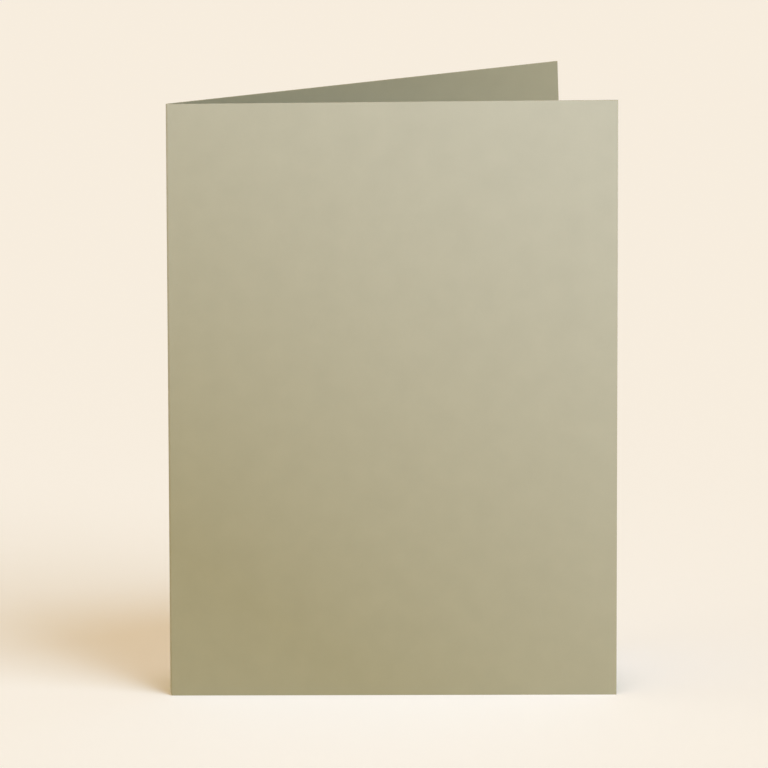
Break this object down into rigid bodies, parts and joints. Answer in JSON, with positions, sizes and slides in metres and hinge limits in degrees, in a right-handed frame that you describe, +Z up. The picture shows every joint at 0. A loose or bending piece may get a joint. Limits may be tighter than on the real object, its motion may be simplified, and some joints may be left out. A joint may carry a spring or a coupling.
{
  "type": "greeting card",
  "caption": "Blank folded greeting card of matte sage card stock, standing upright on its lower edges with its leaves opened in a V.",
  "frame": {"origin": "middle of the card's footprint box, on the plane of the table", "axes": "+Z up along the fold, -Y the way the front leaf faces, -X towards the fold"},
  "size_m": [0.1174, 0.0578, 0.1587],
  "materials": {
    "card_stock": "matte, uncoated card stock, dyed through, with a fine smooth tooth"
  },
  "bodies": {
    "root": {"card_sheet": "card_stock"}
  },
  "joints": []
}
